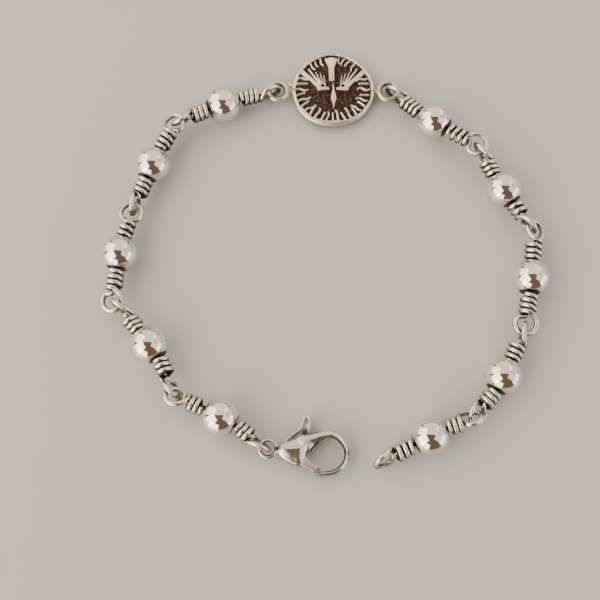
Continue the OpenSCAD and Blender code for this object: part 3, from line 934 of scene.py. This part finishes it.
def prism(shape, thickness):
    n = len(shape)
    points = [np.concatenate([shape, np.full((n, 1), z)], 1) for z in (-thickness / 2, thickness / 2)]
    faces = [[k, (k + 1) % n, n + (k + 1) % n, n + k] for k in range(n)]
    faces.append(list(range(n - 1, -1, -1)))
    faces.append([n + k for k in range(n)])
    return np.concatenate(points), faces


def arrays(obj):
    """Points, normals and faces of an object's mesh."""
    mesh = obj.data
    points = np.empty(len(mesh.vertices) * 3)
    mesh.vertices.foreach_get("co", points)
    normals = np.empty(len(mesh.vertices) * 3)
    mesh.vertices.foreach_get("normal", normals)
    faces = [list(p.vertices) for p in mesh.polygons]
    return points.reshape(-1, 3), normals.reshape(-1, 3), faces


def temp(points, faces):
    """A passing object for the modifiers, with its faces turned outwards."""
    mesh = bpy.data.meshes.new("temp")
    mesh.from_pydata(points.tolist(), [], faces)
    mesh.update()
    volume = 0
    for face in faces:
        first, *others = points[face]
        for a, b in zip(others, others[1:]):
            volume += np.dot(first, np.cross(a, b))
    if volume < 0:
        mesh.flip_normals()
    obj = bpy.data.objects.new("temp", mesh)
    bpy.context.scene.collection.objects.link(obj)
    return obj


def apply_modifier(obj, kind, **settings):
    modifier = obj.modifiers.new("step", kind)
    for name, setting in settings.items():
        setattr(modifier, name, setting)
    graph = bpy.context.evaluated_depsgraph_get()
    done = bpy.data.meshes.new_from_object(obj.evaluated_get(graph))
    obj.modifiers.clear()
    obj.data = done


def melt(meshes, cutter, voxel):
    """Cuts each mesh, then joins them into one smooth cast skin, as points, normals and faces."""
    cut = []
    for points, faces in meshes:
        obj = temp(points, faces)
        if cutter is not None:
            apply_modifier(obj, "BOOLEAN", object=cutter, operation="DIFFERENCE", solver="EXACT")
        points, _, faces = arrays(obj)
        cut.append((points, faces))
        bpy.data.objects.remove(obj)
    mesh_points, mesh_faces = joined(cut)
    whole = temp(mesh_points, mesh_faces)
    apply_modifier(whole, "REMESH", mode="VOXEL", voxel_size=voxel, adaptivity=0.0)
    apply_modifier(whole, "CORRECTIVE_SMOOTH", iterations=smooth_steps, use_only_smooth=True)
    skin = arrays(whole)
    bpy.data.objects.remove(whole)
    return skin


def clasp_shape(rows):
    return np.array(rows) * [clasp_l, clasp_w]


def clasp_to_part(p):
    c, s = cosd(clasp_heading), sind(clasp_heading)
    turned_p = np.stack([p[:, 0] * c - p[:, 1] * s, p[:, 0] * s + p[:, 1] * c, p[:, 2]], -1)
    return turned_p + clasp_at


def spot(x, y, at, squeeze, spread):
    """A soft spot, 1 in its middle and 0 far from it."""
    return np.exp(-((x - at[0]) ** 2 + squeeze * (y - at[1]) ** 2) / spread)


def build_clasp_body():
    scale = np.array([clasp_l, clasp_w, clasp_w, clasp_t / 2, 1, 1, 1])
    rows = spline(np.array(HOOK) * scale, row_steps)
    hook = loft(rows, unit(np.gradient(rows[:, :2], axis=0)))
    rows = spline(np.array(SHELL) * scale, row_steps)
    shell = loft(rows, np.tile([1.0, 0.0], (len(rows), 1)))
    path = circle(clasp_ring_r)
    ring_points, _, ring_faces = tube(path, np.full(len(path), clasp_ring_wire / 2), clasp_ring_sides,
                                      closed=True)
    cutter = temp(*prism(clasp_shape(SLOT), slot_t))
    points, normals, faces = melt([hook, shell, (ring_points, ring_faces)], cutter, body_voxel)
    bpy.data.objects.remove(cutter)
    x, y, z = points.T
    upright = np.abs(normals[:, 2])
    # Painted shade on the slot's flat walls
    in_slot = ((np.abs(z) < slot_t / 2 + slot_margin) & (x > slot_from) & (x < slot_to)
               & (upright > slot_upright))
    at_nose = 1 - rise(np.hypot(x - nose_x, y), *nose_fade)
    inside_ring = np.hypot(x, y) < clasp_ring_r - ring_hole_margin
    inward = (normals[:, :2] * unit(hole_middle - points[:, :2])).sum(1)
    far_half = rise(x, *far_half_x)
    # Painted shade on the steep sides, and a line of painted shade on the far half's inner wall
    side = (1 - rise(upright, *side_fade)) * np.maximum(far_half, 1 - rise(inward, *near_unshaded_fade))
    inner_line = rise(inward, *inner_line_fade) * far_half
    dark = np.max([clean_patina + slot_painted_shade * in_slot, nose_patina * at_nose,
                   ring_hole_patina * inside_ring, body_side_painted_shade * side,
                   inner_line_painted_shade * inner_line], axis=0)
    store("clasp_body_look", clasp_to_part(points), faces, dark, "bracelet", "clasp_body",
          "clasp_silver")


def build_clasp_lever():
    shape = spline(clasp_shape(LEVER), lever_steps, closed=True)
    points, normals, faces = melt([prism(shape, lever_t)], None, lever_voxel)
    x, y, z = points.T
    upright = np.abs(normals[:, 2])
    segment = np.roll(shape, -1, 0) - shape
    rel = points[:, None, :2] - shape[None]
    t = np.clip((rel * segment[None]).sum(2) / (segment ** 2).sum(1), 0, 1)
    inset = np.linalg.norm(rel - t[..., None] * segment[None], axis=2).min(1)
    flat = upright > flat_upright
    hollow = rise(inset, *hollow_inset) * flat * rise(y, *hollow_y)
    points[:, 2] -= np.sign(z) * hollow_depth * hollow
    # A painted highlight spot on the trigger, and painted shade at its foot
    bright = spot(x, y, *painted_highlight_spot)
    foot_shade = spot(x, y, *foot_shade_spot)
    gate = rise(x, *gate_x) * rise(-y, *gate_y)
    gate_dark = gate_patina * rise(inset, *gate_inset) + gate_tip_patina * rise(x, *gate_tip_x)
    # Painted shade on the strip of the lever next to the shell
    strip = flat * rise(inset, *strip_inset) * (1 - rise(y, *strip_end_y)) * (y > strip_y)
    # Patina and painted shade in the hollow, lightened by the painted highlight, painted shade at the
    # foot, and the gate's patina
    dark = (clean_patina + hollow_patina_and_shade * hollow * (1 - painted_highlight_share * bright)
            + foot_painted_shade * foot_shade + gate * gate_dark)
    # Painted shade on the lever's steep sides
    side = 1 - rise(upright, *side_fade)
    dark = np.max([dark, strip_painted_shade * strip, lever_side_painted_shade * side], axis=0)
    store("clasp_lever_look", clasp_to_part(points), faces, dark, "clasp_lever", "clasp_lever",
          "clasp_silver")


for side, rows, beads in (("left", LEFT, beads_left), ("right", RIGHT, beads_right)):
    for i, (row, at) in enumerate(zip(rows, beads)):
        seed = 100 * (side == "right") + 10 * i
        build_link(f"link_{side}_{i + 1}", row, at, seed)
        build_bead(f"bead_{side}_{i + 1}", row, at, seed + 5)
build_medal()
build_clasp_body()
build_clasp_lever()
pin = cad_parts["clasp_pin"]
pin.data.materials.clear()
pin.data.materials.append(metals["clasp_silver"])


# Floor, light and camera. Lengths are in metres from here on

floor_half = 1.5
floor_z = -0.00002
room_middle = np.array([-0.002, -0.032, 0])
room_colour = (0.2, 0.12, 0.095)
# Name, azimuth, elevation, width, height, radiance and colour of each light
LIGHTS = [
    ["ceiling", 88, 46, 1.7, 1.75, 1.3, (1.0, 0.88, 0.78)],
    ["window", 206, 32, 0.87, 1.15, 4.3, (1.0, 0.91, 0.78)],
    ["low_window", 238, 16, 0.85, 0.6, 3.9, (1.0, 0.91, 0.78)],
    ["far_window", 152, 30, 0.75, 1.0, 3.1, (1.0, 0.90, 0.76)],
    ["wall", 28, 24, 0.75, 0.8, 1.0, (0.95, 0.93, 0.95)],
    ["side", -20, 47, 0.62, 0.7, 1.25, (0.95, 0.96, 1.0)],
    ["sky", -18, 13, 0.85, 0.46, 3.1, (0.80, 0.88, 1.0)],
]
# The photo's view: how far it is off straight down, its distance and aim, and its focal length in
# the pixels of a frame that is 600 wide
view_tilt = math.radians(16)
view_distance = 0.160
view_aim = np.array([-0.00602, -0.03926, 0])
focal_px = 924.8
half_frame_px = 300
sensor_mm = 36

corners = [(-floor_half, -floor_half, 0), (floor_half, -floor_half, 0),
           (floor_half, floor_half, 0), (-floor_half, floor_half, 0)]
floor_mesh = bpy.data.meshes.new("floor")
floor_mesh.from_pydata(corners, [], [(0, 1, 2, 3)])
floor_mesh.materials.append(plain("floor", (0.48, 0.47, 0.455), 0.35))
floor = bpy.data.objects.new("floor", floor_mesh)
bpy.context.scene.collection.objects.link(floor)
floor.location = (0, 0, floor_z)

for name, azimuth, elevation, width, height, radiance, colour in LIGHTS:
    # A soft area light one metre from the bracelet, which it faces
    light = bpy.data.lights.new(name, "AREA")
    light.shape = "RECTANGLE"
    light.size = width
    light.size_y = height
    light.energy = radiance * math.pi * width * height
    light.color = colour
    lamp = bpy.data.objects.new(name, light)
    bpy.context.scene.collection.objects.link(lamp)
    way = direction(azimuth, elevation)
    lamp.location = room_middle + way
    lamp.rotation_euler = Vector(-way).to_track_quat("-Z", "Y").to_euler()

world = bpy.data.worlds.new("room")
bpy.context.scene.world = world
world.use_nodes = True
background = world.node_tree.nodes["Background"]
background.inputs["Color"].default_value = (*room_colour, 1)
background.inputs["Strength"].default_value = 1.0

camera_data = bpy.data.cameras.new("camera")
camera_data.sensor_width = sensor_mm
camera_data.lens = sensor_mm / 2 * focal_px / half_frame_px
camera_data.clip_start = 0.005
camera_data.clip_end = 20
camera = bpy.data.objects.new("camera", camera_data)
bpy.context.scene.collection.objects.link(camera)
camera.location = view_aim + view_distance * np.array([0, -math.sin(view_tilt), math.cos(view_tilt)])
camera.rotation_euler = (view_tilt, 0, 0)
bpy.context.scene.camera = camera
